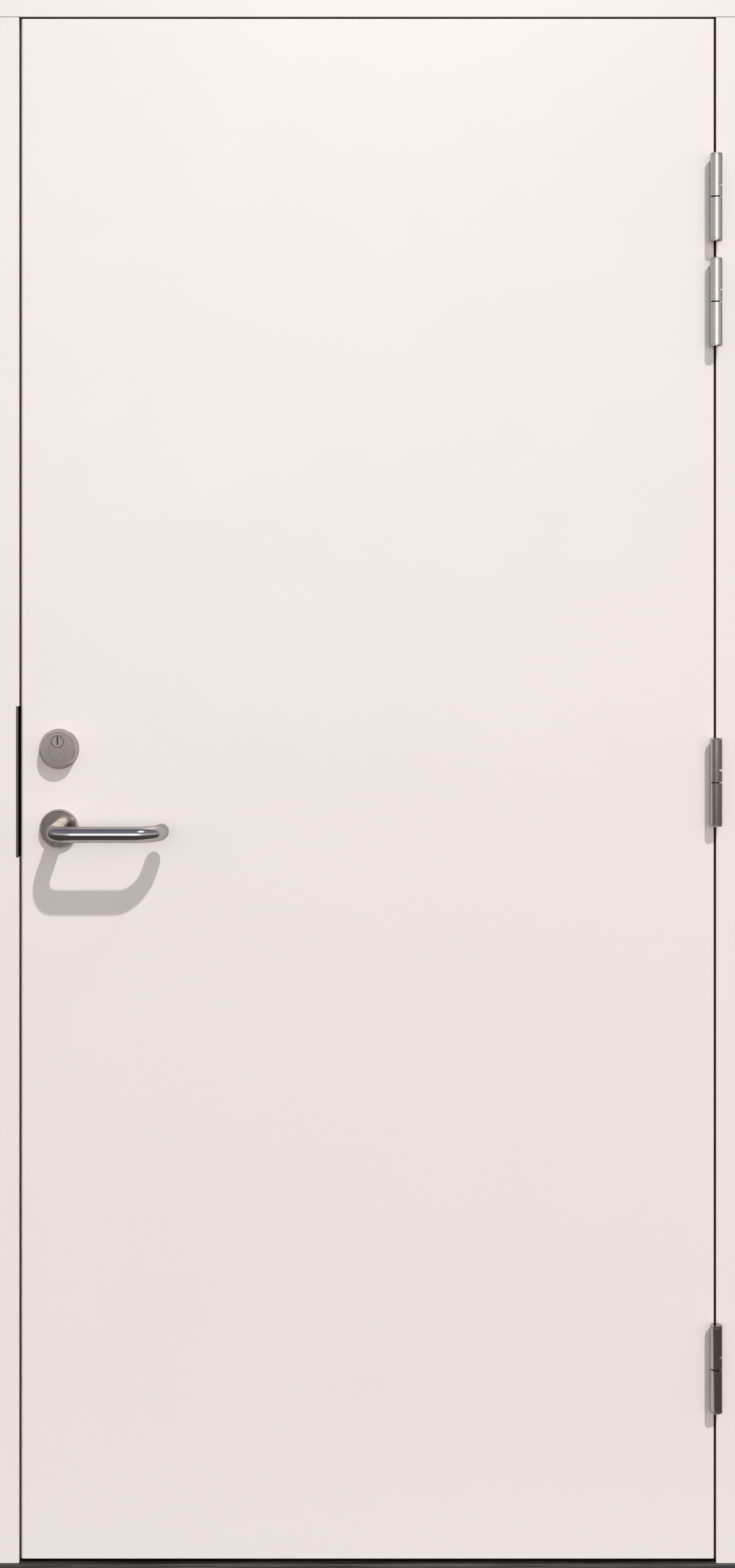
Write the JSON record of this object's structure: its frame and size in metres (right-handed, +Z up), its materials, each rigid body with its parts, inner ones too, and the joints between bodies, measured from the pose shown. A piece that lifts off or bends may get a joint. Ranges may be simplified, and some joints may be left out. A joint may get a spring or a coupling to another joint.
{
  "type": "exterior door",
  "caption": "Flush white exterior door in its frame, opening outwards on knuckle hinges, with bent lever handles and a keyed oval cylinder.",
  "frame": {"origin": "middle of the threshold's underside", "axes": "+X to the right and +Y inwards for someone outside facing the door, +Z up"},
  "size_m": [0.99, 0.2346, 2.09],
  "materials": {
    "frame_paint": "satin",
    "leaf_paint": "satin",
    "threshold_wood": "satin",
    "seal_rubber": "matte",
    "core_foam": "matte",
    "satin_steel": "satin",
    "polished_steel": "polished",
    "strike_steel": "satin",
    "lock_steel": "satin"
  },
  "bodies": {
    "frame": {"left_jamb": "frame_paint", "right_jamb": "frame_paint", "head": "frame_paint", "threshold": "threshold_wood", "left_seal": "seal_rubber", "right_seal": "seal_rubber", "head_seal": "seal_rubber", "threshold_seal": "seal_rubber", "strike_plate": "strike_steel", "frame_hinge_1": "satin_steel", "frame_hinge_2": "satin_steel", "frame_hinge_3": "satin_steel", "frame_hinge_4": "satin_steel", "hinge_pin_1": "satin_steel", "hinge_pin_2": "satin_steel", "hinge_pin_3": "satin_steel", "hinge_pin_4": "satin_steel"},
    "leaf": {"outer_face": "leaf_paint", "inner_face": "leaf_paint", "lock_stile": "leaf_paint", "hinge_stile": "leaf_paint", "top_rail": "leaf_paint", "bottom_rail": "leaf_paint", "insulation_core": "core_foam", "lock_forend": "lock_steel", "lock_case": "lock_steel", "latch_bolt": "lock_steel", "dead_bolt": "lock_steel", "outer_rose": "polished_steel", "inner_rose": "polished_steel", "cylinder_ring": "lock_steel", "cylinder_body": "lock_steel", "turn_rose": "polished_steel", "leaf_hinge_1": "satin_steel", "leaf_hinge_2": "satin_steel", "leaf_hinge_3": "satin_steel", "leaf_hinge_4": "satin_steel"},
    "lever": {"outer_lever": "polished_steel", "inner_lever": "polished_steel", "spindle": "lock_steel"},
    "lock_turn": {"cylinder_plug": "lock_steel", "tail_bar": "lock_steel", "thumb_turn": "polished_steel"}
  },
  "joints": [
    {"name": "door_swing", "type": "hinge", "parent": "frame", "child": "leaf", "pos_m": [0.4575, -0.0696, 1.04], "axis": [0, 0, 1], "range_deg": [0, 170]},
    {"name": "lever_turn", "type": "hinge", "parent": "leaf", "child": "lever", "pos_m": [-0.406, -0.0575, 0.9875], "axis": [0, 1, 0], "range_deg": [0, 45], "stiffness_Nm_per_rad": 1.5, "springref_deg": -45.84},
    {"name": "plug_turn", "type": "hinge", "parent": "leaf", "child": "lock_turn", "pos_m": [-0.406, -0.0575, 1.1029], "axis": [0, 1, 0], "range_deg": [-90, 90]}
  ]
}
